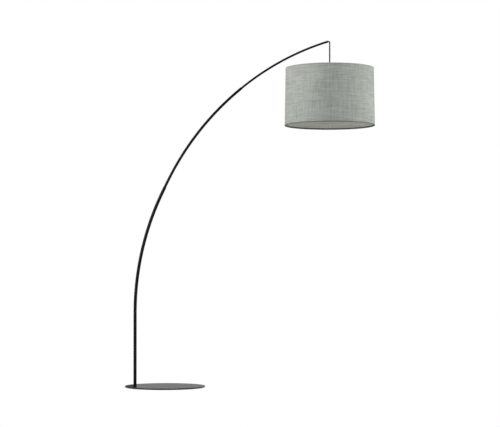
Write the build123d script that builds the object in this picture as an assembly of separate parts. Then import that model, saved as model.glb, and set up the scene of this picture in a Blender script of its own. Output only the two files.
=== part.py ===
from build123d import *
import math
import os

# Arc floor lamp. A slim three-part tube rises from a round steel base, bends over in a wide arc and
# carries a drum shade that hangs on its own cable.
#
# Frame: origin on the floor under the middle of the base, +Z up, the arm reaches out along +X.
# All sizes are in millimetres.

# ---------------------------------------------------------------- driving dimensions
BASE_DIAMETER = 400.0
BASE_PLATE_THICKNESS = 6.0
BASE_EDGE_ROUND = 0.8
PAD_THICKNESS = 1.5
PAD_INSET = 4.0
POLE_X = -150.0

LOWER_TUBE_OD = 16.0
LOWER_TUBE_ID = 13.6
MIDDLE_TUBE_OD = 13.4
MIDDLE_TUBE_ID = 11.0
UPPER_TUBE_OD = 10.8
UPPER_TUBE_ID = 8.4
TUBE_LIP_ROUND = 0.5
TUBE_OVERLAP = 60.0

BEND_START_Z = 374.0
BEND_RADIUS = 1390.0
UPPER_BEND_RADIUS = 1280.0
FIRST_JOINT_ALONG_BEND = 648.0
FIRST_JOINT_STRAIGHT = 50.0
SECOND_JOINT_ALONG_BEND = 1280.0
SECOND_JOINT_STRAIGHT = 4.0
TIP_ALONG_BEND = 1773.5

CABLE_DIAMETER = 6.8
CABLE_TIP_BEND = 6.5
LEAD_HOLE_Z = 46.0
LEAD_HOLE_DIAMETER = 10.4
LEAD_BEND = 5.0

SHADE_BOTTOM_Z = 1306.0
SHADE_HEIGHT = 289.0
SHADE_BOTTOM_DIAMETER = 452.0
SHADE_TOP_DIAMETER = 442.0
FABRIC_THICKNESS = 1.2
LINER_THICKNESS = 0.8
TRIM_THICKNESS = 0.5
TRIM_HEIGHT = 5.0
RING_WIRE_DIAMETER = 4.0
SPOKE_WIRE_DIAMETER = 3.5
SPOKE_ANGLES = (90.0, 210.0, 330.0)
FITTER_RECESS = 32.5
FITTER_THICKNESS = 2.0
FITTER_HOLE = 40.5
FITTER_DIAMETER = 60.0

HOLDER_SKIRT_DIAMETER = 38.6
HOLDER_FLANGE_DIAMETER = 48.0
SHELL_INNER_DIAMETER = 26.8
SHELL_WALL = 0.5
CORD_BORE = 3.6              # radius of the way through the lampholder's neck
BULB_CAP_DIAMETER = 26.2
BULB_DIAMETER = 60.0

SLIDE_GAP = 0.1      # between flat faces that turn or slide on each other
WIRE_GAP = 0.1       # between a wire ring and the cloth it stiffens

# ---------------------------------------------------------------- worked-out places
BASE_TOP_Z = PAD_THICKNESS + BASE_PLATE_THICKNESS
CABLE_RADIUS = CABLE_DIAMETER / 2
FITTER_TOP_Z = SHADE_BOTTOM_Z + SHADE_HEIGHT - FITTER_RECESS
FITTER_BOTTOM_Z = FITTER_TOP_Z - FITTER_THICKNESS


# ---------------------------------------------------------------- the arm's centreline
def arm_runs():
    """The centreline from the base up: (length, radius) of each run, no radius where it is straight."""
    first = FIRST_JOINT_STRAIGHT / 2
    second = SECOND_JOINT_STRAIGHT / 2
    return [
        (BEND_START_Z - BASE_TOP_Z, None),
        (FIRST_JOINT_ALONG_BEND - first, BEND_RADIUS),
        (FIRST_JOINT_STRAIGHT, None),
        (SECOND_JOINT_ALONG_BEND - FIRST_JOINT_ALONG_BEND - first - second, BEND_RADIUS),
        (SECOND_JOINT_STRAIGHT, None),
        (TIP_ALONG_BEND - SECOND_JOINT_ALONG_BEND - second, UPPER_BEND_RADIUS),
    ]


def arm_point(along):
    """Point of the centreline and its lean from the vertical, at a distance from the base plate."""
    x, z, lean = POLE_X, BASE_TOP_Z, 0.0
    left = along
    for length, radius in arm_runs():
        step = min(left, length)
        if radius is None:
            x += step * math.sin(lean)
            z += step * math.cos(lean)
        else:
            turned = lean + step / radius
            x += radius * (math.cos(lean) - math.cos(turned))
            z += radius * (math.sin(turned) - math.sin(lean))
            lean = turned
        left -= step
        if left <= 0:
            break
    return Vector(x, 0, z), lean


def arm_plane(along):
    """Plane square to the centreline, facing up the arm."""
    point, lean = arm_point(along)
    return Plane(origin=point, x_dir=(0, 1, 0), z_dir=(math.sin(lean), 0, math.cos(lean)))


def arm_edges(start, end):
    """The centreline between two distances from the base plate, as lines and arcs."""
    edges = []
    reached = 0.0
    for length, radius in arm_runs():
        first = max(start, reached)
        last = min(end, reached + length)
        reached += length
        if last - first < 0.01:
            continue
        a, b = arm_point(first)[0], arm_point(last)[0]
        if radius is None:
            edges.append(Line(a, b))
        else:
            edges.append(ThreePointArc(a, arm_point((first + last) / 2)[0], b))
    return edges


BEND_START = BEND_START_Z - BASE_TOP_Z
FIRST_JOINT = BEND_START + FIRST_JOINT_ALONG_BEND
SECOND_JOINT = BEND_START + SECOND_JOINT_ALONG_BEND
TIP = BEND_START + TIP_ALONG_BEND
TIP_POINT, TIP_LEAN = arm_point(TIP)
CAP_OVERHANG = 1.5
MOUTH_POINT = TIP_POINT + Vector(math.sin(TIP_LEAN), 0, math.cos(TIP_LEAN)) * CAP_OVERHANG
SWING_X = MOUTH_POINT.X + CABLE_TIP_BEND * (1 + math.cos(TIP_LEAN))
SWING_Z = MOUTH_POINT.Z - CABLE_TIP_BEND * math.sin(TIP_LEAN)
CABLE_JOINT_RADIUS = CABLE_RADIUS + 0.1
GRIP_TOP_Z = FITTER_TOP_Z + 44.0
GRIP_SCREW_DROP = 7.0
ROCK_Z = GRIP_TOP_Z - 3.0


# ---------------------------------------------------------------- small makers
UPWARD = (Align.CENTER, Align.CENTER, Align.MIN)


def disc(radius, low, high, x=0.0):
    return Pos(x, 0, low) * Cylinder(radius, high - low, align=UPWARD)


def turned(profile, x=SWING_X):
    """Solid of revolution about a vertical axis at x, from (radius, height) points."""
    outline = Polyline(*[(r, 0, z) for r, z in profile], close=True)
    return Pos(x, 0, 0) * revolve(make_face(outline), Axis.Z)


def swept(section_plane, radius, edges, bore=0.0):
    section = Circle(radius)
    if bore:
        section -= Circle(bore)
    return sweep(section_plane * section, path=Wire(edges))


def wall_radius(z):
    """Outer radius of the shade's cloth at height z."""
    share = (z - SHADE_BOTTOM_Z) / SHADE_HEIGHT
    bottom = SHADE_BOTTOM_DIAMETER / 2 - TRIM_THICKNESS
    top = SHADE_TOP_DIAMETER / 2 - TRIM_THICKNESS
    return bottom + (top - bottom) * share


# ---------------------------------------------------------------- base
def base_plate():
    plate = disc(BASE_DIAMETER / 2, PAD_THICKNESS, BASE_TOP_Z)
    plate = fillet(plate.edges().filter_by(GeomType.CIRCLE), BASE_EDGE_ROUND)
    hole = disc(3.2, PAD_THICKNESS - 1, BASE_TOP_Z + 1, POLE_X)
    countersink = Pos(POLE_X, 0, PAD_THICKNESS) * Cone(6.4, 3.2, 3.2, align=UPWARD)
    return plate - hole - countersink


def base_pad():
    pad = disc(BASE_DIAMETER / 2 - PAD_INSET, 0, PAD_THICKNESS)
    return pad - disc(9.0, -1, PAD_THICKNESS + 1, POLE_X)


def foot_screw():
    """Countersunk machine screw from below, into the plug in the pole."""
    low = PAD_THICKNESS + 0.1
    head = Pos(POLE_X, 0, low) * Cone(6.2, 3.0, 3.0, align=UPWARD)
    shank = disc(3.0, low + 3.0, BASE_TOP_Z + 17, POLE_X)
    socket = Pos(POLE_X, 0, low - 1) * extrude(RegularPolygon(2.3, 6), 3.2)
    return head + shank - socket


def foot_plug():
    """Threaded steel plug welded into the pole's foot."""
    plug = disc(LOWER_TUBE_ID / 2 - 0.02, BASE_TOP_Z, BASE_TOP_Z + 26, POLE_X)
    return plug - disc(3.0, BASE_TOP_Z - 1, BASE_TOP_Z + 20, POLE_X)


# ---------------------------------------------------------------- arm
def tube(start, end, outer, inner):
    """One tube section, with the outer edge of its upper end rounded over."""
    section = swept(arm_plane(start), outer / 2, arm_edges(start, end), inner / 2)
    end_point = arm_point(end)[0]
    rim = [e for e in section.edges().filter_by(GeomType.CIRCLE) if abs(e.radius - outer / 2) < 0.01]
    nearest = min(rim, key=lambda e: (e.arc_center - end_point).length)
    return fillet(nearest, TUBE_LIP_ROUND)


def joint_place(joint):
    """Where a joint's set screw sits: on the far side of the tube, a third of the overlap below its lip."""
    return arm_point(joint - TUBE_OVERLAP / 3)[0]


def cross_hole(point, radius, length):
    """Drill along +Y from a point on the centreline."""
    return Pos(point.X, 0, point.Z) * Rot(-90, 0, 0) * Cylinder(radius, length, align=UPWARD)


def lower_tube():
    body = tube(0, FIRST_JOINT, LOWER_TUBE_OD, LOWER_TUBE_ID)
    lead_hole = cross_hole(Vector(POLE_X, 0, LEAD_HOLE_Z), LEAD_HOLE_DIAMETER / 2, LOWER_TUBE_OD)
    return body - lead_hole - cross_hole(joint_place(FIRST_JOINT), 1.5, LOWER_TUBE_OD)


def middle_tube():
    body = tube(FIRST_JOINT - TUBE_OVERLAP, SECOND_JOINT, MIDDLE_TUBE_OD, MIDDLE_TUBE_ID)
    return body - cross_hole(joint_place(SECOND_JOINT), 1.5, MIDDLE_TUBE_OD)


def upper_tube():
    return swept(
        arm_plane(SECOND_JOINT - TUBE_OVERLAP),
        UPPER_TUBE_OD / 2,
        arm_edges(SECOND_JOINT - TUBE_OVERLAP, TIP),
        UPPER_TUBE_ID / 2,
    )


def joint_screws():
    """Two cup-point set screws, one through each outer tube, that bear on the tube inside."""
    screws = []
    length = 2.3
    for joint, inner_radius in ((FIRST_JOINT, MIDDLE_TUBE_OD / 2), (SECOND_JOINT, UPPER_TUBE_OD / 2)):
        point = joint_place(joint)
        pin = Cylinder(1.5, length, align=UPWARD)
        pin -= Pos(0, 0, length - 1.2) * extrude(RegularPolygon(0.85, 6), 2)
        screws.append(Pos(point.X, inner_radius, point.Z) * Rot(-90, 0, 0) * pin)
    return Compound(screws)


def lead_grommet():
    """Bush in the back of the pole, just above the base, where the mains lead goes in."""
    outer = LOWER_TUBE_OD / 2
    saddle = 3.6
    place = Pos(POLE_X, outer - saddle, LEAD_HOLE_Z) * Rot(-90, 0, 0)
    flange = place * Cylinder(6.6, saddle + 1.8, align=UPWARD)
    flange -= disc(outer + 0.02, LEAD_HOLE_Z - 8, LEAD_HOLE_Z + 8, POLE_X)
    neck = cross_hole(Vector(POLE_X, 0, LEAD_HOLE_Z), LEAD_HOLE_DIAMETER / 2 - 0.05, outer + 0.5)
    neck -= disc(LOWER_TUBE_ID / 2, LEAD_HOLE_Z - 8, LEAD_HOLE_Z + 8, POLE_X)
    bush = flange + neck
    return bush - cross_hole(Vector(POLE_X, 0, LEAD_HOLE_Z), CABLE_RADIUS + 0.1, 20)


def tip_cap():
    """Moulded cap over the end of the upper tube, with a rounded mouth for the cable."""
    outer = UPPER_TUBE_OD / 2 + 0.7
    bore = CABLE_RADIUS + 0.15
    length = 10.0
    place = arm_plane(TIP) * Pos(0, 0, CAP_OVERHANG - length)
    body = Cylinder(outer, length, align=UPWARD)
    body = fillet(body.edges().group_by(Axis.Z)[-1], 1.2)
    body -= Cylinder(bore, 2 * length)
    body -= Cylinder(UPPER_TUBE_OD / 2 + 0.1, length - CAP_OVERHANG, align=UPWARD)
    return place * body


def arm_cable():
    """Cable held inside the arm, from the bush near the base to the mouth of the tip cap."""
    start = LEAD_HOLE_Z - BASE_TOP_Z
    enter = LEAD_BEND
    outside = Vector(POLE_X, LOWER_TUBE_OD / 2, LEAD_HOLE_Z)
    corner = Vector(POLE_X, enter, LEAD_HOLE_Z)
    lean = math.radians(45)
    middle = Vector(POLE_X, enter * (1 - math.sin(lean)), LEAD_HOLE_Z + enter * (1 - math.cos(lean)))
    up = arm_point(start + enter)[0]
    edges = [Line(outside, corner), ThreePointArc(corner, middle, up)]
    edges += arm_edges(start + enter, TIP)
    edges.append(Line(TIP_POINT, MOUTH_POINT))
    return swept(Plane(origin=outside, z_dir=(0, -1, 0)), CABLE_RADIUS, edges)


# ---------------------------------------------------------------- hanging cable
def cable_at_tip():
    """Short length of cable that comes out of the cap and turns down over its lip."""
    centre = Vector(SWING_X - CABLE_TIP_BEND, 0, SWING_Z)
    half_turn = (math.pi - TIP_LEAN) / 2
    middle = centre + Vector(math.cos(half_turn), 0, math.sin(half_turn)) * CABLE_TIP_BEND
    bend = ThreePointArc(MOUTH_POINT, middle, Vector(SWING_X, 0, SWING_Z))
    plane = Plane(origin=MOUTH_POINT, z_dir=(math.sin(TIP_LEAN), 0, math.cos(TIP_LEAN)))
    solid = swept(plane, CABLE_RADIUS, [bend])
    return solid - Pos(SWING_X, 0, SWING_Z) * Sphere(CABLE_JOINT_RADIUS)


def pendant_cable():
    """The straight hanging length. Its round top turns in the hollow end of the cable at the tip."""
    drop = disc(CABLE_RADIUS, ROCK_Z, SWING_Z, SWING_X)
    return drop + Pos(SWING_X, 0, SWING_Z) * Sphere(CABLE_RADIUS - 0.01)


# ---------------------------------------------------------------- lampholder
def cord_grip():
    """Nipple screwed on the cap's neck. Its flared mouth lets the cable lean."""
    top = GRIP_TOP_Z
    profile = [
        (4.6, top), (6.2, top), (7.0, top - 1.2), (7.0, top - 9.9), (CORD_BORE, top - 9.9),
        (CORD_BORE, top - 4.0),
    ]
    return turned(profile) - cross_hole(Vector(SWING_X, 0, top - GRIP_SCREW_DROP), 1.27, 10)


def grip_screw():
    """Small side screw that pinches the cable in the nipple."""
    pin = Cylinder(1.25, 4.6, align=UPWARD)
    pin -= Pos(0, 0, 3.6) * Box(0.5, 3, 3, align=UPWARD)
    return Pos(SWING_X, CABLE_RADIUS + 0.1, GRIP_TOP_Z - GRIP_SCREW_DROP) * Rot(-90, 0, 0) * pin


def cable_end():
    """Last length of cable, held in the nipple, down to where its jacket is stripped."""
    return disc(CABLE_RADIUS - 0.05, FITTER_TOP_Z + 26.0, ROCK_Z - 1.0, SWING_X)


def holder_cap():
    low = FITTER_TOP_Z + 12.0
    neck = FITTER_TOP_Z + 34.0
    profile = [
        (22.0, low), (22.0, low + 9), (19.5, low + 14), (13.0, low + 18.5), (7.0, low + 20.5), (7.0, neck),
        (CORD_BORE, neck), (CORD_BORE, low + 18.5), (11.5, low + 16.5), (17.8, low + 12.5), (20.0, low + 8),
        (20.0, low),
    ]
    return turned(profile)


def holder_body():
    """Outer shell with the flange that the shade hangs under and the threaded skirt below it."""
    flange = FITTER_TOP_Z + SLIDE_GAP
    skirt = HOLDER_SKIRT_DIAMETER / 2
    profile = [
        (skirt, flange - 38), (skirt, flange), (HOLDER_FLANGE_DIAMETER / 2, flange),
        (HOLDER_FLANGE_DIAMETER / 2, flange + 3), (22.0, flange + 3), (22.0, flange + 11.8),
        (19.8, flange + 11.8), (19.8, flange + 5), (17.0, flange + 2), (17.0, flange - 38),
    ]
    return turned(profile)


def holder_core():
    """Insulating block that carries the contacts."""
    low = FITTER_TOP_Z - 4.0
    block = disc(16.9, low, low + 6, SWING_X) + disc(14.5, low + 6, low + 12, SWING_X)
    block -= disc(5.0, low - 1, low + 2.5, SWING_X)
    for side in (-1, 1):
        block -= disc(1.5, low + 6, low + 13, SWING_X + side * 9.0)
        block -= disc(1.0, low + 6, low + 13, SWING_X + side * 4.0)
    return block


def thread_shell():
    """Brass screw shell that takes the bulb's cap."""
    inner = SHELL_INNER_DIAMETER / 2
    top = FITTER_TOP_Z - 4.1
    low = top - 27.0
    outer = inner + SHELL_WALL
    under = top - SHELL_WALL
    return turned([(inner, low), (outer, low), (outer, top), (8.0, top), (8.0, under), (inner, under)])


def centre_contact():
    """Brass tongue in the middle of the core that presses on the bulb."""
    top = FITTER_TOP_Z - 1.6
    return Pos(SWING_X, 0, top) * Box(6.0, 3.2, 2.0, align=(Align.CENTER, Align.CENTER, Align.MAX))


def terminal_screws():
    """Two terminal screws on top of the core."""
    top = FITTER_TOP_Z + 9.6
    screws = []
    for side in (-1, 1):
        item = disc(2.4, 0, 1.5) + disc(1.5, -6.5, 0)
        item -= Pos(0, 0, 0.9) * Box(6, 0.6, 2, align=UPWARD)
        screws.append(Pos(SWING_X + side * 9.0, 0, top) * item)
    return Compound(screws)


def holder_wires():
    """The cable's two cores, from the stripped end to their terminals."""
    top = FITTER_TOP_Z + 25.9
    low = FITTER_TOP_Z + 4.0
    wires = []
    for side in (-1, 1):
        start = Vector(SWING_X + side * 1.4, 0, top)
        seat = Vector(SWING_X + side * 4.0, 0, low)
        path = FilletPolyline(start, start - Vector(0, 0, 6), seat + Vector(0, 0, 6), seat, radius=4.0)
        wires.append(swept(Plane(origin=start, z_dir=(0, 0, -1)), 0.9, path.edges()))
    return Compound(wires)


def shade_ring():
    """Screw ring that clamps the shade's fitter up against the lampholder's flange."""
    inner = HOLDER_SKIRT_DIAMETER / 2 + 0.1
    top = FITTER_BOTTOM_Z - SLIDE_GAP
    flange = [(inner, top), (28.0, top), (28.0, top - 2.5), (24.0, top - 4)]
    ring = turned(flange + [(24.0, top - 9), (inner, top - 9)])
    notches = 12
    for index in range(notches):
        place = Pos(SWING_X, 0, top - 9.5) * Rot(0, 0, 360 * index / notches) * Pos(24.4, 0, 0)
        ring -= place * Cylinder(1.2, 5.6, align=UPWARD)
    return ring


# ---------------------------------------------------------------- shade
def shade_fitter():
    """Steel ring that drops over the lampholder's skirt."""
    ring = disc(FITTER_DIAMETER / 2, FITTER_BOTTOM_Z, FITTER_TOP_Z, SWING_X)
    return ring - disc(FITTER_HOLE / 2, FITTER_BOTTOM_Z - 1, FITTER_TOP_Z + 1, SWING_X)


def ring_centre(z, side):
    """Radius and height of a rim wire's centre: side is 1 at the bottom rim and -1 at the top rim."""
    height = z + side * (TRIM_THICKNESS + WIRE_GAP + RING_WIRE_DIAMETER / 2)
    wall = wall_radius(height) - FABRIC_THICKNESS - LINER_THICKNESS
    return wall - WIRE_GAP - RING_WIRE_DIAMETER / 2, height


TOP_RING = ring_centre(SHADE_BOTTOM_Z + SHADE_HEIGHT, -1)
BOTTOM_RING = ring_centre(SHADE_BOTTOM_Z, 1)


def rim_wire(place):
    radius, height = place
    return Pos(SWING_X, 0, height) * Torus(radius, RING_WIRE_DIAMETER / 2)


def shade_spokes():
    """Three bent wires from the fitter out and up to the top rim wire."""
    radius = SPOKE_WIRE_DIAMETER / 2
    low = FITTER_TOP_Z + radius + 0.02
    high = TOP_RING[1]
    end = TOP_RING[0] - RING_WIRE_DIAMETER / 2 - 0.02
    start = HOLDER_FLANGE_DIAMETER / 2 + 1.5
    points = [(start, 0, low), (start + 34, 0, low), (end - 22, 0, high), (end, 0, high)]
    path = FilletPolyline(*points, radius=22)
    spoke = swept(Plane(origin=(start, 0, low), z_dir=(1, 0, 0)), radius, path.edges())
    return Compound([Pos(SWING_X, 0, 0) * Rot(0, 0, angle) * spoke for angle in SPOKE_ANGLES])


def wall_band(inner_depth, outer_depth, low, high):
    """Slightly conical band that follows the cloth, between two depths under its outer face."""
    return turned([
        (wall_radius(low) - inner_depth, low), (wall_radius(low) - outer_depth, low),
        (wall_radius(high) - outer_depth, high), (wall_radius(high) - inner_depth, high),
    ])


CLOTH_LOW = SHADE_BOTTOM_Z + TRIM_THICKNESS
CLOTH_HIGH = SHADE_BOTTOM_Z + SHADE_HEIGHT - TRIM_THICKNESS


def shade_fabric():
    return wall_band(FABRIC_THICKNESS, 0, CLOTH_LOW, CLOTH_HIGH)


def shade_liner():
    return wall_band(FABRIC_THICKNESS + LINER_THICKNESS, FABRIC_THICKNESS, CLOTH_LOW, CLOTH_HIGH)


def trim(rim, cloth_edge, side):
    """Folded binding over a rim: outer leg, turned edge and inner leg behind the rim wire."""
    outer = wall_radius(rim) + TRIM_THICKNESS
    inner = ring_centre(rim, side)[0] - RING_WIRE_DIAMETER / 2 - WIRE_GAP
    outer_end = rim + side * TRIM_HEIGHT
    inner_end = rim + side * (RING_WIRE_DIAMETER + 1.5)
    return turned([
        (outer, rim), (wall_radius(outer_end) + TRIM_THICKNESS, outer_end),
        (wall_radius(outer_end), outer_end),
        (wall_radius(cloth_edge), cloth_edge), (inner, cloth_edge), (inner, inner_end),
        (inner - TRIM_THICKNESS, inner_end), (inner - TRIM_THICKNESS, rim),
    ])


def top_trim():
    """The upper binding, notched where each spoke reaches the rim wire."""
    band = trim(SHADE_BOTTOM_Z + SHADE_HEIGHT, CLOTH_HIGH, -1)
    notch = Rot(0, 90, 0) * Cylinder(SPOKE_WIRE_DIAMETER / 2 + 0.1, 8.5, align=UPWARD)
    notch = Pos(TOP_RING[0] - 10, 0, TOP_RING[1]) * notch
    for angle in SPOKE_ANGLES:
        band -= Pos(SWING_X, 0, 0) * Rot(0, 0, angle) * notch
    return band


# ---------------------------------------------------------------- bulb
BULB_TOP_Z = FITTER_TOP_Z - 3.7


def bulb_contact():
    return disc(4.4, BULB_TOP_Z - 1.2, BULB_TOP_Z, SWING_X)


def bulb_insulator():
    top = BULB_TOP_Z - 1.3
    return turned([(0, top), (4.6, top), (11.5, top - 4.0), (11.5, top - 5.0), (0, top - 5.0)])


def bulb_cap():
    top = BULB_TOP_Z - 6.3
    outer = BULB_CAP_DIAMETER / 2
    return turned([(0, top), (outer - 1, top), (outer, top - 1), (outer, top - 21.5), (0, top - 21.5)])


def bulb_housing():
    """White moulded body of the LED bulb, flaring from the cap to the diffuser."""
    top = BULB_TOP_Z - 27.8
    widest = BULB_DIAMETER / 2 - 0.5
    profile = [(0, top), (14.0, top), (15.2, top - 8), (18.5, top - 17), (24.0, top - 26), (28.2, top - 34)]
    profile += [(widest, top - 37), (widest, top - 38), (0, top - 38)]
    return turned(profile)


def bulb_diffuser():
    """Opal dome, hollow."""
    rim = BULB_TOP_Z - 65.9
    outer = BULB_DIAMETER / 2
    dome = Pos(SWING_X, 0, rim - 14.0) * Sphere(outer)
    barrel = disc(outer, rim - 14.0, rim, SWING_X)
    below = disc(outer + 1, rim - 14.0 - outer - 1, rim - 14.0, SWING_X)
    shape = barrel + (dome & below)
    hollow = disc(outer - 1.5, rim - 14.0, rim + 1, SWING_X)
    hollow += Pos(SWING_X, 0, rim - 14.0) * Sphere(outer - 1.5) & below
    return shape - hollow


def bulb_led_board():
    low = BULB_TOP_Z - 67.6
    return disc(22.0, low, low + 1.6, SWING_X)


# ---------------------------------------------------------------- write every node
NODES = {
    "base_plate": base_plate,
    "base_pad": base_pad,
    "foot_screw": foot_screw,
    "foot_plug": foot_plug,
    "lead_grommet": lead_grommet,
    "lower_tube": lower_tube,
    "middle_tube": middle_tube,
    "upper_tube": upper_tube,
    "joint_screws": joint_screws,
    "tip_cap": tip_cap,
    "arm_cable": arm_cable,
    "cable_at_tip": cable_at_tip,
    "pendant_cable": pendant_cable,
    "cord_grip": cord_grip,
    "grip_screw": grip_screw,
    "cable_end": cable_end,
    "holder_cap": holder_cap,
    "holder_body": holder_body,
    "holder_core": holder_core,
    "thread_shell": thread_shell,
    "centre_contact": centre_contact,
    "terminal_screws": terminal_screws,
    "holder_wires": holder_wires,
    "shade_ring": shade_ring,
    "shade_fitter": shade_fitter,
    "shade_spokes": shade_spokes,
    "shade_top_wire": lambda: rim_wire(TOP_RING),
    "shade_bottom_wire": lambda: rim_wire(BOTTOM_RING),
    "shade_fabric": shade_fabric,
    "shade_liner": shade_liner,
    "shade_top_trim": top_trim,
    "shade_bottom_trim": lambda: trim(SHADE_BOTTOM_Z, CLOTH_LOW, 1),
    "bulb_contact": bulb_contact,
    "bulb_insulator": bulb_insulator,
    "bulb_cap": bulb_cap,
    "bulb_housing": bulb_housing,
    "bulb_diffuser": bulb_diffuser,
    "bulb_led_board": bulb_led_board,
}


def main():
    os.makedirs("parts", exist_ok=True)
    for name, make in NODES.items():
        export_step(make(), os.path.join("parts", name + ".step"))
    print("tip", TIP_POINT, "lean", math.degrees(TIP_LEAN))
    print("swing axis", SWING_X, SWING_Z, "rock height", ROCK_Z)
    print("cable bend radius at the tip", CABLE_TIP_BEND, "hanging length", SWING_Z - ROCK_Z)


main()
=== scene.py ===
import math

import bpy
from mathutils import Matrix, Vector


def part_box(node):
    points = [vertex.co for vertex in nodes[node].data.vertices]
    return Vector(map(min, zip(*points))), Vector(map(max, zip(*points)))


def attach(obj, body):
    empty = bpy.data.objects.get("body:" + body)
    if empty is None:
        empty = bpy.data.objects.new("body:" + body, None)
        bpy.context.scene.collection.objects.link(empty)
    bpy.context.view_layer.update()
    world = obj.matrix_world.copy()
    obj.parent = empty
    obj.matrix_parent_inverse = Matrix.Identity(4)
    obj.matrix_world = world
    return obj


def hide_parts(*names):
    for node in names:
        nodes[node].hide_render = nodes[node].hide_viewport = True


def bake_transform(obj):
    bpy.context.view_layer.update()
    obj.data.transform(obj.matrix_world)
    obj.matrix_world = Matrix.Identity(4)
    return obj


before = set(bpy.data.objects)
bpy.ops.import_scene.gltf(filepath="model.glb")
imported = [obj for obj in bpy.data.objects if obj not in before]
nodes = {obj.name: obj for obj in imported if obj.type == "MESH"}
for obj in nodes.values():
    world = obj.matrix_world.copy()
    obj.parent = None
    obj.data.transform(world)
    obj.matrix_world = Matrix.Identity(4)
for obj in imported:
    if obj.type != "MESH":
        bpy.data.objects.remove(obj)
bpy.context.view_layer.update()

# Arc floor lamp: a black steel stand with a drum shade of grey-green slub linen on its own cable.
# Lengths are in metres. The origin is on the floor under the middle of the base, and the arm reaches
# out along +X.

# ---------------------------------------------------------------- places taken from the frame
cable_low, cable_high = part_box("pendant_cable")
cloth_low, cloth_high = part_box("shade_fabric")

HANG_X = (cable_low.x + cable_high.x) / 2
CLOTH_LOW = cloth_low.z
CLOTH_TOP = cloth_high.z
SHADE_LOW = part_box("shade_bottom_trim")[0].z
SHADE_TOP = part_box("shade_top_trim")[1].z
FITTER_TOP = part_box("shade_fitter")[1].z
SLEEVE_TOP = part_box("holder_body")[1].z

# ---------------------------------------------------------------- sizes of the cloth, wires and cord
CLOTH_THICKNESS = 0.0012
LINING_THICKNESS = 0.0008
HEM_THICKNESS = 0.0005
HEM_HEIGHT = 0.005
HEM_CORNER = 0.0012
HEM_PAST_WIRE = 0.0030
RIM_WIRE = 0.004
GAP = 0.0001
CLOTH_BOTTOM_RADIUS = 0.2255
CLOTH_TAPER = 0.005
THREADS_PER_METRE = 1400.0
SEAM_WIDTH = 0.012
SEAM_THICKNESS = 0.0008
SEAM_LIFT = 0.0004
CORD_DIAMETER = 0.0068

FULL_TURN = 2 * math.pi


# ---------------------------------------------------------------- camera
def add_camera():
    """Eight metres in front of the lamp, a third of the way up it and tilted up by about a degree."""
    eye = bpy.data.cameras.new("camera")
    eye.lens = 115.32
    eye.sensor_width = 36
    eye.shift_y = 0.0602
    camera = bpy.data.objects.new("camera", eye)
    camera.location = (0.4235, -8.0, 0.565)
    camera.rotation_euler = (math.radians(91.085), 0, 0)
    bpy.context.scene.collection.objects.link(camera)
    bpy.context.scene.camera = camera


for leftover in ("Cube", "Light", "Camera"):
    if leftover in bpy.data.objects:
        bpy.data.objects.remove(bpy.data.objects[leftover])
add_camera()


# ---------------------------------------------------------------- modelling helpers
def select_nothing():
    if bpy.context.object is not None and bpy.context.object.mode != "OBJECT":
        bpy.ops.object.mode_set(mode="OBJECT")
    bpy.ops.object.select_all(action="DESELECT")


def only(piece):
    select_nothing()
    piece.select_set(True)
    bpy.context.view_layer.objects.active = piece
    return piece


def edit_all(piece):
    only(piece)
    bpy.ops.object.mode_set(mode="EDIT")
    bpy.ops.mesh.select_mode(type="VERT")
    bpy.ops.mesh.select_all(action="SELECT")


def settle(piece):
    """Place goes into the mesh, doubles are merged and faces point outwards."""
    only(piece)
    bpy.ops.object.transform_apply(location=True, rotation=True, scale=True)
    edit_all(piece)
    bpy.ops.mesh.remove_doubles(threshold=1e-6)
    bpy.ops.mesh.normals_make_consistent(inside=False)
    bpy.ops.object.mode_set(mode="OBJECT")
    return piece


def modify(piece, kind, **settings):
    only(piece)
    step = piece.modifiers.new(kind, kind)
    for key, value in settings.items():
        setattr(step, key, value)
    bpy.ops.object.modifier_apply(modifier=step.name)
    return piece


def shade(piece, angle=40.0):
    only(piece)
    bpy.ops.object.shade_smooth_by_angle(angle=math.radians(angle))
    return piece


def turned(name, outline, sides):
    """Ring turned about the hanging axis, from a closed outline of (radius, height) steps."""
    select_nothing()
    radius, height = outline[0]
    bpy.ops.mesh.primitive_circle_add(
        vertices=sides, radius=radius, fill_type="NOTHING", location=(HANG_X, 0, height)
    )
    piece = bpy.context.object
    edit_all(piece)
    for step_radius, step_height in outline[1:]:
        bpy.ops.mesh.extrude_region_move(TRANSFORM_OT_translate={"value": (0, 0, step_height - height)})
        grow = step_radius / radius
        if abs(grow - 1) > 1e-9:
            bpy.ops.transform.resize(value=(grow, grow, 1), center_override=(HANG_X, 0, step_height))
        radius, height = step_radius, step_height
    bpy.ops.mesh.select_all(action="DESELECT")
    bpy.ops.mesh.select_non_manifold()
    bpy.ops.mesh.bridge_edge_loops()
    piece.name = name
    return settle(piece)


# ---------------------------------------------------------------- the cord
def cord_route(name, points):
    """The cord's line, a spline through the open air between its two fixings."""
    line = bpy.data.curves.new(name, "CURVE")
    line.dimensions = "3D"
    spline = line.splines.new("NURBS")
    spline.points.add(len(points) - 1)
    for knot, (x, z) in zip(spline.points, points):
        knot.co = (x, 0, z, 1)
    spline.order_u = 3
    spline.use_endpoint_u = True
    spline.resolution_u = 24
    line.twist_mode = "MINIMUM"
    route = bpy.data.objects.new(name, line)
    bpy.context.scene.collection.objects.link(route)
    bpy.context.view_layer.update()
    return route


# Middle of the cord as (x, height): over the cap's lip, then straight down into the grip.
CORD_POINTS = [
    (0.81403, 1.72863),
    (0.81717, 1.72961),
    (0.82247, 1.72571),
    (0.82247, 1.71913),
    (0.82247, 1.69400),
    (0.82247, 1.60350),
]


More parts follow.
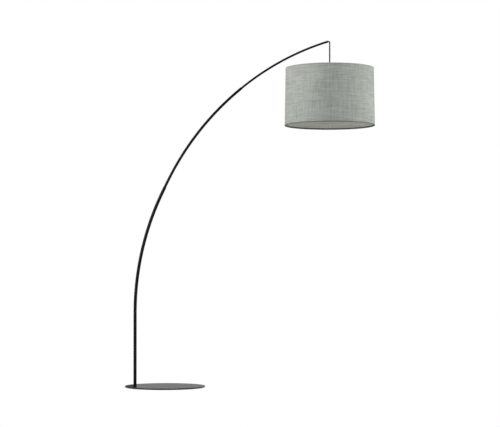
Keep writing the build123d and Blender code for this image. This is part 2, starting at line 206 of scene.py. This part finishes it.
def hanging_cord():
    route = cord_route("cord_route", CORD_POINTS)
    traced = bpy.data.meshes.new_from_object(route)
    bpy.data.meshes.remove(traced)
    route.data.bevel_depth = CORD_DIAMETER / 2
    route.data.bevel_resolution = 10
    route.data.use_fill_caps = True
    only(route)
    bpy.ops.object.convert(target="MESH")
    cord = bpy.context.object
    cord.name = "hanging_cord"
    settle(cord)
    shade(cord, 60)
    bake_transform(cord)
    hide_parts("cable_at_tip", "pendant_cable")
    return cord


cord = hanging_cord()


# ---------------------------------------------------------------- material helpers
def shader_node(tree, kind, **settings):
    made = tree.nodes.new(kind)
    for key, value in settings.items():
        setattr(made, key, value)
    return made


def sums(tree, operation, first, second=None, third=None):
    """Math node. Each operand is a number or an output."""
    made = shader_node(tree, "ShaderNodeMath", operation=operation)
    for slot, value in zip(made.inputs, (first, second, third)):
        if isinstance(value, (int, float)):
            slot.default_value = value
        elif value is not None:
            tree.links.new(value, slot)
    return made.outputs[0]


def blend_colours(tree, share, first, second):
    made = shader_node(tree, "ShaderNodeMix", data_type="RGBA")
    tree.links.new(share, made.inputs["Factor"])
    for slot, colour in zip([s for s in made.inputs if s.type == "RGBA"], (first, second)):
        slot.default_value = (*colour, 1)
    return [s for s in made.outputs if s.type == "RGBA"][0]


def spread_over(tree, value, low, high, start=0.0, end=1.0):
    """Value from start..end stretched over low..high, held at the ends."""
    made = shader_node(tree, "ShaderNodeMapRange")
    tree.links.new(value, made.inputs["Value"])
    made.inputs["From Min"].default_value = start
    made.inputs["From Max"].default_value = end
    made.inputs["To Min"].default_value = low
    made.inputs["To Max"].default_value = high
    return made.outputs["Result"]


def noise(tree, place, scale, detail, rough):
    made = shader_node(tree, "ShaderNodeTexNoise")
    tree.links.new(place, made.inputs["Vector"])
    if isinstance(scale, (int, float)):
        made.inputs["Scale"].default_value = scale
    else:
        tree.links.new(scale, made.inputs["Scale"])
    made.inputs["Detail"].default_value = detail
    made.inputs["Roughness"].default_value = rough
    return made.outputs["Fac"]


def group_tree(name, inputs, outputs):
    tree = bpy.data.node_groups.new(name, "ShaderNodeTree")
    for label, kind, value in inputs:
        slot = tree.interface.new_socket(label, in_out="INPUT", socket_type=kind)
        if value is not None:
            slot.default_value = value
    for label in outputs:
        tree.interface.new_socket(label, in_out="OUTPUT", socket_type="NodeSocketFloat")
    return tree, tree.nodes.new("NodeGroupInput"), tree.nodes.new("NodeGroupOutput")


def placed(tree, group, place, **values):
    made = shader_node(tree, "ShaderNodeGroup", node_tree=group)
    tree.links.new(place, made.inputs["Place"])
    for key, value in values.items():
        made.inputs[key].default_value = value
    return made


def patches_and_grain():
    """Slow patches and fine grain, for paint, plastic and metal."""
    tree, given, result = group_tree(
        "patches_and_grain",
        [
            ("Place", "NodeSocketVector", None),
            ("Patches", "NodeSocketFloat", 20.0),
            ("Grain", "NodeSocketFloat", 900.0),
        ],
        ["Patches", "Grain"],
    )
    place = given.outputs["Place"]
    slow = noise(tree, place, given.outputs["Patches"], 3.0, 0.55)
    fine = noise(tree, place, given.outputs["Grain"], 2.0, 0.5)
    tree.links.new(spread_over(tree, slow, 0, 1, 0.35, 0.65), result.inputs["Patches"])
    tree.links.new(spread_over(tree, fine, 0, 1, 0.3, 0.7), result.inputs["Grain"])
    return tree


def slub_linen():
    """Plain weave with thick and thin threads. Place is metres along and up the cloth."""
    tree, given, result = group_tree(
        "slub_linen",
        [("Place", "NodeSocketVector", None), ("Threads", "NodeSocketFloat", THREADS_PER_METRE)],
        ["Height", "Weft", "Warp", "Clouds"],
    )
    split = shader_node(tree, "ShaderNodeSeparateXYZ")
    tree.links.new(given.outputs["Place"], split.inputs[0])
    along, up = split.outputs["X"], split.outputs["Y"]
    across_count = sums(tree, "MULTIPLY", along, given.outputs["Threads"])
    up_count = sums(tree, "MULTIPLY", up, given.outputs["Threads"])
    warp_round = sums(tree, "SINE", sums(tree, "MULTIPLY", sums(tree, "FRACT", across_count), math.pi))
    weft_round = sums(tree, "SINE", sums(tree, "MULTIPLY", sums(tree, "FRACT", up_count), math.pi))
    warp_number = sums(tree, "FLOOR", across_count)
    weft_number = sums(tree, "FLOOR", up_count)
    over = sums(tree, "FLOORED_MODULO", sums(tree, "ADD", warp_number, weft_number), 2.0)
    warp_top = sums(tree, "MULTIPLY", warp_round, sums(tree, "MULTIPLY_ADD", weft_round, 0.4, 0.6))
    weft_top = sums(tree, "MULTIPLY", weft_round, sums(tree, "MULTIPLY_ADD", warp_round, 0.4, 0.6))
    warp_share = sums(tree, "MULTIPLY", warp_top, over)
    weft_share = sums(tree, "MULTIPLY", weft_top, sums(tree, "SUBTRACT", 1.0, over))

    def streaks(x_rate, y_rate, lift):
        """Streaks much longer than they are thick."""
        combine = shader_node(tree, "ShaderNodeCombineXYZ")
        tree.links.new(sums(tree, "MULTIPLY", along, x_rate), combine.inputs["X"])
        tree.links.new(sums(tree, "MULTIPLY", up, y_rate), combine.inputs["Y"])
        combine.inputs["Z"].default_value = lift
        return noise(tree, combine.outputs[0], 1.0, 2.0, 0.6)

    weft_wide = streaks(12.0, 170.0, 1.3)
    warp_wide = streaks(170.0, 8.0, 4.1)
    weft_thread = streaks(30.0, 700.0, 7.9)
    warp_thread = streaks(700.0, 26.0, 11.7)
    weft = sums(tree, "MULTIPLY_ADD", weft_thread, 0.4, sums(tree, "MULTIPLY", weft_wide, 0.6))
    warp = sums(tree, "MULTIPLY_ADD", warp_thread, 0.4, sums(tree, "MULTIPLY", warp_wide, 0.6))
    weft = spread_over(tree, weft, 0, 1, 0.33, 0.67)
    warp = spread_over(tree, warp, 0, 1, 0.33, 0.67)
    thick = sums(tree, "MULTIPLY_ADD", weft, 0.5, 0.6)
    height = sums(tree, "ADD", warp_share, sums(tree, "MULTIPLY", weft_share, thick))
    clouds = noise(tree, given.outputs["Place"], 11.0, 3.0, 0.5)
    tree.links.new(height, result.inputs["Height"])
    tree.links.new(weft, result.inputs["Weft"])
    tree.links.new(warp, result.inputs["Warp"])
    tree.links.new(spread_over(tree, clouds, 0, 1, 0.35, 0.65), result.inputs["Clouds"])
    return tree


PATCHES = patches_and_grain()
LINEN = slub_linen()


def finish(name, roughness, metallic, **sockets):
    """New material: returns it with its tree, its shader and its object coordinates."""
    material = bpy.data.materials.new(name)
    material.use_nodes = True
    tree = material.node_tree
    surface = tree.nodes["Principled BSDF"]
    surface.inputs["Roughness"].default_value = roughness
    surface.inputs["Metallic"].default_value = metallic
    for key, value in sockets.items():
        surface.inputs[key.replace("_", " ")].default_value = value
    place = tree.nodes.new("ShaderNodeTexCoord").outputs["Object"]
    return material, tree, surface, place


def raise_bumps(tree, surface, height, distance, strength=1.0):
    bump = shader_node(tree, "ShaderNodeBump")
    bump.inputs["Strength"].default_value = strength
    bump.inputs["Distance"].default_value = distance
    tree.links.new(height, bump.inputs["Height"])
    tree.links.new(bump.outputs["Normal"], surface.inputs["Normal"])


def speckled(name, light, dark, rough, patches, grain, bump, metallic=0.0, **sockets):
    """Paint, plastic or metal: two close colours in slow patches, a roughness that goes with them and
    a fine grain raised by bump."""
    material, tree, surface, place = finish(name, rough[0], metallic, **sockets)
    both = placed(tree, PATCHES, place, Patches=patches, Grain=grain)
    colour = blend_colours(tree, both.outputs["Patches"], dark, light)
    tree.links.new(colour, surface.inputs["Base Color"])
    tree.links.new(
        spread_over(tree, both.outputs["Patches"], rough[0], rough[1]), surface.inputs["Roughness"]
    )
    raise_bumps(tree, surface, both.outputs["Grain"], bump)
    return material


FINISHES = {
    "black_steel": speckled(
        "black_powder_coat", (0.0050, 0.0050, 0.0054), (0.0032, 0.0032, 0.0035), (0.34, 0.40), 14, 1300,
        0.000002, Specular_IOR_Level=0.22,
    ),
    "black_hardware": speckled(
        "blackened_screw", (0.05, 0.05, 0.052), (0.03, 0.03, 0.03), (0.3, 0.42), 300, 3000, 0.00001, 0.8
    ),
    "zinc_steel": speckled(
        "zinc_plated_steel", (0.62, 0.62, 0.60), (0.50, 0.50, 0.50), (0.25, 0.4), 200, 2500, 0.00001, 1.0
    ),
    "base_pad": speckled(
        "foam_rubber_pad", (0.035, 0.035, 0.035), (0.022, 0.022, 0.022), (0.85, 0.95), 60, 1800, 0.0002
    ),
    "black_plastic": speckled(
        "black_moulded_plastic", (0.012, 0.012, 0.0125), (0.008, 0.008, 0.008), (0.33, 0.42), 90, 2600,
        0.00001
    ),
    "cable_jacket": speckled(
        "black_cable_jacket", (0.009, 0.009, 0.0095), (0.006, 0.006, 0.006), (0.45, 0.55), 120, 2600,
        0.00001
    ),
    "core_insulation": speckled(
        "blue_core_insulation", (0.05, 0.14, 0.42), (0.04, 0.11, 0.34), (0.35, 0.45), 200, 2500, 0.00001
    ),
    "white_insulator": speckled(
        "white_glazed_insulator", (0.80, 0.79, 0.75), (0.72, 0.71, 0.67), (0.22, 0.34), 80, 1200, 0.00004
    ),
    "contact_brass": speckled(
        "rolled_brass", (0.78, 0.56, 0.22), (0.66, 0.45, 0.17), (0.24, 0.38), 150, 2200, 0.00001, 1.0
    ),
    "contact_tin": speckled(
        "tinned_contact", (0.66, 0.66, 0.64), (0.52, 0.52, 0.50), (0.3, 0.45), 300, 2500, 0.00002, 1.0
    ),
    "bulb_nickel": speckled(
        "nickel_plated_cap", (0.70, 0.68, 0.64), (0.60, 0.58, 0.54), (0.2, 0.32), 150, 2200, 0.00001, 1.0
    ),
    "bulb_insulator": speckled(
        "black_glass_insulator", (0.02, 0.018, 0.022), (0.012, 0.01, 0.014), (0.1, 0.2), 200, 2500,
        0.00001
    ),
    "bulb_white": speckled(
        "white_moulded_housing", (0.78, 0.78, 0.77), (0.73, 0.73, 0.72), (0.35, 0.45), 60, 2200, 0.00001
    ),
    "bulb_opal": speckled(
        "opal_diffuser", (0.88, 0.88, 0.86), (0.84, 0.84, 0.82), (0.3, 0.4), 50, 2200, 0.00001,
        Subsurface_Weight=0.3, Subsurface_Scale=0.003,
    ),
    "led_board": speckled(
        "white_led_board", (0.80, 0.80, 0.76), (0.74, 0.74, 0.70), (0.4, 0.5), 200, 2500, 0.00001
    ),
    "white_wire": speckled(
        "white_painted_wire", (0.72, 0.72, 0.70), (0.64, 0.64, 0.61), (0.35, 0.5), 60, 1500, 0.00004
    ),
}

BASE_PAINT = speckled(
    "satin_black_base_coat", (0.0075, 0.0075, 0.008), (0.0045, 0.0045, 0.005), (0.24, 0.30), 14, 1300,
    0.00001, Coat_Weight=0.42, Coat_Roughness=0.10,
)


def painted_inner_face_shade(tree, place, kept_under_painted_shade):
    """Painted shade on the inner face: the cloth keeps all its colour on the outer face and least on the
    inner one.
    """
    split = shader_node(tree, "ShaderNodeSeparateXYZ")
    tree.links.new(place, split.inputs[0])
    out = sums(tree, "SUBTRACT", split.outputs["X"], HANG_X)
    wide = sums(tree, "MULTIPLY", split.outputs["Y"], split.outputs["Y"])
    radius = sums(tree, "SQRT", sums(tree, "MULTIPLY_ADD", out, out, wide))
    edge = CLOTH_BOTTOM_RADIUS - CLOTH_THICKNESS
    return spread_over(tree, radius, kept_under_painted_shade, 1.0, edge - 0.001, edge + 0.001)


WEFT_SHARE = 0.47
WARP_SHARE = 0.45
CLOUD_SHARE = 0.08


def cloth_finish(name, light, dark, bump, kept_under_painted_shade=1.0):
    """Slub linen. The last argument is how much of its colour the drum's inner face keeps under painted
    shade.
    """
    material, tree, surface, place = finish(name, 0.85, 0.0, Specular_IOR_Level=0.25)
    surface.inputs["Sheen Weight"].default_value = 0.12
    surface.inputs["Sheen Roughness"].default_value = 0.5
    laid = shader_node(tree, "ShaderNodeUVMap", uv_map="cloth")
    weave = placed(tree, LINEN, laid.outputs["UV"], Threads=THREADS_PER_METRE)
    streak = sums(tree, "MULTIPLY", weave.outputs["Clouds"], CLOUD_SHARE)
    streak = sums(tree, "MULTIPLY_ADD", weave.outputs["Warp"], WARP_SHARE, streak)
    streak = sums(tree, "MULTIPLY_ADD", weave.outputs["Weft"], WEFT_SHARE, streak)
    colour = blend_colours(tree, streak, dark, light)
    # Painted shade: the colour is darkened in the weave's hollows between the threads.
    weave_hollow_shade = spread_over(tree, weave.outputs["Height"], 0.72, 1.0, 0.1, 0.7)
    if kept_under_painted_shade < 1:
        weave_hollow_shade = sums(tree, "MULTIPLY", weave_hollow_shade, painted_inner_face_shade(tree, place, kept_under_painted_shade))
    colour_with_painted_shade = shader_node(tree, "ShaderNodeVectorMath", operation="SCALE")
    tree.links.new(colour, colour_with_painted_shade.inputs[0])
    tree.links.new(weave_hollow_shade, colour_with_painted_shade.inputs["Scale"])
    tree.links.new(colour_with_painted_shade.outputs[0], surface.inputs["Base Color"])
    tree.links.new(spread_over(tree, weave.outputs["Weft"], 0.78, 0.92), surface.inputs["Roughness"])
    raise_bumps(tree, surface, weave.outputs["Height"], bump, 0.8)
    return material


FINISHES["shade_cloth"] = cloth_finish(
    "grey_green_linen", (0.71, 0.755, 0.69), (0.30, 0.325, 0.295), 0.00025
)
# The lining carries the linen's weave and a brighter warm grey: painted light shining through the cloth
# on top of the lining's own pale colour.
FINISHES["shade_lining"] = cloth_finish(
    "lining_with_painted_light_through_linen", (0.68, 0.68, 0.61), (0.46, 0.46, 0.41), 0.0001
)
# The turned-in edges are the cloth's own linen painted darker as shade: most under the bottom rim and on
# its inner face, less at the top rim.
FINISHES["shade_binding"] = cloth_finish(
    "turned_in_edge_with_painted_shade", (0.32, 0.34, 0.31), (0.20, 0.21, 0.19), 0.0002, kept_under_painted_shade=0.42
)
TOP_EDGE_PAINTED_SHADE = cloth_finish("top_edge_with_painted_shade", (0.54, 0.57, 0.52), (0.33, 0.35, 0.32), 0.0002)

for node in nodes.values():
    slot_name = node.material_slots[0].material.name
    node.material_slots[0].material = FINISHES[slot_name]
nodes["base_plate"].material_slots[0].material = BASE_PAINT


def place_piece(piece, body, slot_name, *stands_for):
    """Give a piece its finish and its body, in place of the plain solids that it stands for."""
    piece.data.materials.clear()
    piece.data.materials.append(FINISHES[slot_name])
    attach(piece, body)
    if stands_for:
        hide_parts(*stands_for)
    return piece


cord.data.materials.clear()
cord.data.materials.append(FINISHES["cable_jacket"])


# ---------------------------------------------------------------- the shade's cloth
SHADE_SIDES = 256


def wall_radius(height):
    """Outer radius of the cloth at a height."""
    share = (height - SHADE_LOW) / (SHADE_TOP - SHADE_LOW)
    return CLOTH_BOTTOM_RADIUS - CLOTH_TAPER * share


def lay_cloth(piece):
    """Flat metres along and up the cloth, from the join at the back."""
    layer = piece.data.uv_layers.new(name="cloth")
    piece.data.uv_layers.active = layer
    for face in piece.data.polygons:
        middle = math.atan2(face.center.x - HANG_X, -face.center.y)
        for index in face.loop_indices:
            point = piece.data.vertices[piece.data.loops[index].vertex_index].co
            angle = math.atan2(point.x - HANG_X, -point.y)
            if angle - middle > math.pi:
                angle -= FULL_TURN
            elif middle - angle > math.pi:
                angle += FULL_TURN
            layer.data[index].uv = ((angle + math.pi) * CLOTH_BOTTOM_RADIUS, point.z - SHADE_LOW)


def skin(name, depth, thickness, low, high, rows=12):
    """One layer of the drum, depth under the cloth's face and thickness thick."""
    heights = [low + (high - low) * row / rows for row in range(rows + 1)]
    outline = [(wall_radius(height) - depth, height) for height in heights]
    outline += [(wall_radius(height) - depth - thickness, height) for height in reversed(heights)]
    return turned(name, outline, SHADE_SIDES)


cloth = skin("linen_cloth", 0.0, CLOTH_THICKNESS, CLOTH_LOW, CLOTH_TOP)
shade(cloth)
lay_cloth(cloth)
place_piece(cloth, "shade", "shade_cloth", "shade_fabric")

lining = skin("cloth_lining", CLOTH_THICKNESS, LINING_THICKNESS, CLOTH_LOW, CLOTH_TOP)
shade(lining)
lay_cloth(lining)
place_piece(lining, "shade", "shade_lining", "shade_liner")


def rim_place(rim, side):
    """Radius and height of a rim wire's middle. Side is 1 at the bottom rim and -1 at the top."""
    height = rim + side * (HEM_THICKNESS + GAP + RIM_WIRE / 2)
    wall = wall_radius(height) - CLOTH_THICKNESS - LINING_THICKNESS
    return wall - GAP - RIM_WIRE / 2, height


def hem(name, rim, side):
    """The cloth's edge, turned in over the rim wire."""
    outer_end = rim + side * HEM_HEIGHT
    cloth_edge = rim + side * HEM_THICKNESS
    inner = rim_place(rim, side)[0] - RIM_WIRE / 2 - GAP
    inner_end = rim + side * (RIM_WIRE + HEM_PAST_WIRE)
    outline = [
        (wall_radius(outer_end) + HEM_THICKNESS, outer_end),
        (wall_radius(rim) + HEM_THICKNESS, rim + side * HEM_CORNER),
        (wall_radius(rim) + HEM_THICKNESS * 0.6, rim + side * HEM_CORNER * 0.4),
        (wall_radius(rim) - HEM_THICKNESS, rim),
        (inner + HEM_THICKNESS, rim),
        (inner - HEM_THICKNESS * 0.6, rim + side * HEM_CORNER * 0.4),
        (inner - HEM_THICKNESS, rim + side * HEM_CORNER),
        (inner - HEM_THICKNESS, inner_end),
        (inner, inner_end),
        (inner, cloth_edge),
        (wall_radius(cloth_edge), cloth_edge),
        (wall_radius(outer_end), outer_end),
    ]
    piece = turned(name, outline, SHADE_SIDES)
    shade(piece, 50)
    lay_cloth(piece)
    return piece


bottom_hem = place_piece(hem("bottom_hem", SHADE_LOW, 1), "shade", "shade_binding", "shade_bottom_trim")
top_hem = place_piece(hem("top_hem", SHADE_TOP, -1), "shade", "shade_binding", "shade_top_trim")
# The top hem takes the lighter painted shade.
top_hem.data.materials[0] = TOP_EDGE_PAINTED_SHADE


def side_seam():
    """The overlap that closes the drum at the back, a narrow strip down the cloth."""
    low = SHADE_LOW + HEM_HEIGHT + HEM_THICKNESS
    high = SHADE_TOP - HEM_HEIGHT - HEM_THICKNESS
    flat_edge = SEAM_WIDTH / 2 * 0.9
    select_nothing()
    bpy.ops.mesh.primitive_plane_add(
        size=1, location=(HANG_X, 0, (low + high) / 2), rotation=(math.pi / 2, 0, 0)
    )
    piece = bpy.context.object
    piece.scale = (SEAM_WIDTH, high - low, 1)
    bpy.ops.object.transform_apply(location=True, rotation=True, scale=True)
    edit_all(piece)
    bpy.ops.mesh.subdivide(number_cuts=11)
    bpy.ops.object.mode_set(mode="OBJECT")
    for v in piece.data.vertices:
        across = v.co.x - HANG_X
        lift = SEAM_LIFT if abs(across) < flat_edge else 0.0
        angle = across / CLOTH_BOTTOM_RADIUS
        radius = wall_radius(v.co.z) + GAP + lift
        v.co = (HANG_X + radius * math.sin(angle), radius * math.cos(angle), v.co.z)
    piece.name = "cloth_seam"
    settle(piece)
    if sum(face.normal.y for face in piece.data.polygons) < 0:
        edit_all(piece)
        bpy.ops.mesh.flip_normals()
        bpy.ops.object.mode_set(mode="OBJECT")
    modify(piece, "SOLIDIFY", thickness=SEAM_THICKNESS, offset=-1)
    shade(piece)
    lay_cloth(piece)
    return piece


seam = place_piece(side_seam(), "shade", "shade_cloth")


# ---------------------------------------------------------------- the shade's wire frame
def rim_wire(name, rim, side):
    radius, height = rim_place(rim, side)
    turns = [FULL_TURN * step / 16 for step in range(16)]
    wire = RIM_WIRE / 2
    outline = [(radius + wire * math.cos(turn), height + wire * math.sin(turn)) for turn in turns]
    return shade(turned(name, outline, 192), 80)


place_piece(rim_wire("rim_wire_bottom", SHADE_LOW, 1), "shade", "white_wire", "shade_bottom_wire")
place_piece(rim_wire("rim_wire_top", SHADE_TOP, -1), "shade", "white_wire", "shade_top_wire")


# ---------------------------------------------------------------- the lampholder's mouldings
HOLDER_SIDES = 72
HOLDER_RADIUS = 0.022
EDGE_ROUND = 0.0004

DOME_WALL_HEIGHT = 0.009
DOME_RISE = 0.0105
DOME_STEPS = 12
NECK_RADIUS = 0.007
NECK_ROUND = 0.0006
NECK_TOP = 0.022
CABLE_BORE = 0.0036

FLANGE_RADIUS = 0.024
FLANGE_THICKNESS = 0.003
SLEEVE_BORE = 0.017
SLEEVE_MOUTH = 0.0198
COLLAR_TOP = 0.0118
SKIRT_HEIGHT = 0.038
RIDGES = 11
RIDGE_PITCH = 0.003
RIDGE_CREST = 0.0193
RIDGE_ROOT = 0.0187


def holder_dome():
    """Cap of the lampholder: a round dome on a short straight wall, with a neck for the grip."""
    low = SLEEVE_TOP + GAP
    shoulder = low + DOME_WALL_HEIGHT
    foot = NECK_RADIUS + NECK_ROUND
    outline = [
        (HOLDER_RADIUS - EDGE_ROUND, low), (HOLDER_RADIUS, low + EDGE_ROUND), (HOLDER_RADIUS, shoulder),
    ]
    for step in range(1, DOME_STEPS + 1):
        turn = math.pi / 2 * step / DOME_STEPS
        outline.append((
            foot + (HOLDER_RADIUS - foot) * math.cos(turn), shoulder + DOME_RISE * math.sin(turn)
        ))
    outline += [
        (NECK_RADIUS, low + 0.0203), (NECK_RADIUS, low + NECK_TOP), (CABLE_BORE, low + NECK_TOP),
        (CABLE_BORE, low + 0.0185), (0.0115, low + 0.0165), (0.0178, low + 0.0125),
        (0.020, low + 0.008), (0.020, low),
    ]
    return shade(turned("lampholder_dome", outline, HOLDER_SIDES))


def holder_sleeve():
    """Outer sleeve: a flange, and below it a skirt whose round ridges stand for its screw thread."""
    flange = FITTER_TOP + GAP
    flange_top = flange + FLANGE_THICKNESS
    low = flange - SKIRT_HEIGHT
    outline = [(RIDGE_CREST - 0.0005, low), (RIDGE_CREST, low + 0.0005)]
    for ridge in range(RIDGES):
        start = low + 0.0015 + ridge * RIDGE_PITCH
        outline += [
            (RIDGE_CREST, start), (RIDGE_ROOT + 0.0001, start + 0.0006), (RIDGE_ROOT, start + 0.001),
            (RIDGE_ROOT + 0.0001, start + 0.0014), (RIDGE_CREST, start + 0.002),
        ]
    outline += [
        (RIDGE_CREST, flange), (FLANGE_RADIUS - EDGE_ROUND, flange),
        (FLANGE_RADIUS, flange + EDGE_ROUND), (FLANGE_RADIUS, flange_top - EDGE_ROUND),
        (FLANGE_RADIUS - EDGE_ROUND, flange_top),
        (HOLDER_RADIUS, flange_top), (HOLDER_RADIUS, flange + COLLAR_TOP),
        (SLEEVE_MOUTH, flange + COLLAR_TOP), (SLEEVE_MOUTH, flange + 0.005),
        (SLEEVE_BORE, flange + 0.002), (SLEEVE_BORE, low),
    ]
    return shade(turned("lampholder_sleeve", outline, HOLDER_SIDES), 50)


place_piece(holder_dome(), "lampholder", "black_plastic", "holder_cap")
place_piece(holder_sleeve(), "lampholder", "black_plastic", "holder_body")


# ---------------------------------------------------------------- stage and light
def white_stage():
    select_nothing()
    bpy.ops.mesh.primitive_plane_add(size=60, location=(0, 0, -0.0005))
    floor = bpy.context.object
    floor.name = "floor"
    material = bpy.data.materials.new("pale_floor")
    material.use_nodes = True
    tree = material.node_tree
    tree.nodes["Principled BSDF"].inputs["Base Color"].default_value = (0.6, 0.6, 0.6, 1)
    tree.nodes["Principled BSDF"].inputs["Roughness"].default_value = 0.9
    seen = shader_node(tree, "ShaderNodeEmission")
    seen.inputs["Strength"].default_value = 1.0
    mixed = shader_node(tree, "ShaderNodeMixShader")
    tree.links.new(tree.nodes.new("ShaderNodeLightPath").outputs["Is Camera Ray"], mixed.inputs["Fac"])
    tree.links.new(tree.nodes["Principled BSDF"].outputs[0], mixed.inputs[1])
    tree.links.new(seen.outputs[0], mixed.inputs[2])
    tree.links.new(mixed.outputs[0], tree.nodes["Material Output"].inputs["Surface"])
    floor.data.materials.append(material)


def white_surround(front, back):
    """Plain white all round as the camera sees it. It lights the lamp less from the front."""
    world = bpy.data.worlds.new("studio")
    bpy.context.scene.world = world
    world.use_nodes = True
    tree = world.node_tree
    plain = tree.nodes["Background"]
    plain.inputs["Color"].default_value = (1, 1, 1, 1)
    split = shader_node(tree, "ShaderNodeSeparateXYZ")
    tree.links.new(tree.nodes.new("ShaderNodeTexCoord").outputs["Generated"], split.inputs[0])
    strength = spread_over(tree, split.outputs["Y"], front, back, -1.0, 1.0)
    tree.links.new(strength, plain.inputs["Strength"])
    seen = shader_node(tree, "ShaderNodeBackground")
    seen.inputs["Color"].default_value = (1, 1, 1, 1)
    seen.inputs["Strength"].default_value = 1.0
    mixed = shader_node(tree, "ShaderNodeMixShader")
    tree.links.new(tree.nodes.new("ShaderNodeLightPath").outputs["Is Camera Ray"], mixed.inputs["Fac"])
    tree.links.new(plain.outputs[0], mixed.inputs[1])
    tree.links.new(seen.outputs[0], mixed.inputs[2])
    tree.links.new(mixed.outputs[0], tree.nodes["World Output"].inputs["Surface"])


AIM_HEIGHT = 1.2


def softbox(name, azimuth, distance, height, size, power):
    """Soft light aimed just under the shade. Azimuth 0 is behind the camera and 90 is on its right."""
    lamp = bpy.data.lights.new(name, "AREA")
    lamp.shape = "RECTANGLE"
    lamp.size, lamp.size_y = size
    lamp.energy = power
    box = bpy.data.objects.new(name, lamp)
    turn = math.radians(azimuth)
    box.location = (HANG_X + distance * math.sin(turn), -distance * math.cos(turn), height)
    toward = Vector((HANG_X, 0, AIM_HEIGHT)) - box.location
    box.rotation_euler = toward.to_track_quat("-Z", "Y").to_euler()
    box.visible_camera = False
    bpy.context.scene.collection.objects.link(box)


def dark_flag(name, low, high, y, glow):
    """Upright dark card that only reflections see. Low and high are its x and z corners."""
    select_nothing()
    middle = ((low[0] + high[0]) / 2, y, (low[1] + high[1]) / 2)
    bpy.ops.mesh.primitive_plane_add(size=1, location=middle, rotation=(math.pi / 2, 0, 0))
    card = bpy.context.object
    card.name = name
    card.scale = (high[0] - low[0], high[1] - low[1], 1)
    material = bpy.data.materials.new("dark_card")
    material.use_nodes = True
    surface = material.node_tree.nodes["Principled BSDF"]
    surface.inputs["Base Color"].default_value = (0, 0, 0, 1)
    surface.inputs["Specular IOR Level"].default_value = 0
    surface.inputs["Emission Color"].default_value = (1, 1, 1, 1)
    surface.inputs["Emission Strength"].default_value = glow
    card.data.materials.append(material)
    card.visible_camera = False
    card.visible_diffuse = False
    card.visible_shadow = False


white_stage()
dark_flag("left_flag", (-0.75, 0.0), (-0.175, 0.35), 0.45, 0.1)
white_surround(0.115, 0.35)
softbox("left_softbox", -67, 2.7, 1.75, (1.2, 2.2), 41.5)
softbox("right_softbox", 81, 2.7, 1.75, (1.2, 2.2), 46.5)
softbox("top_softbox", 0, 0.3, 3.2, (1.6, 1.6), 40)
bpy.context.scene.view_settings.view_transform = "Standard"
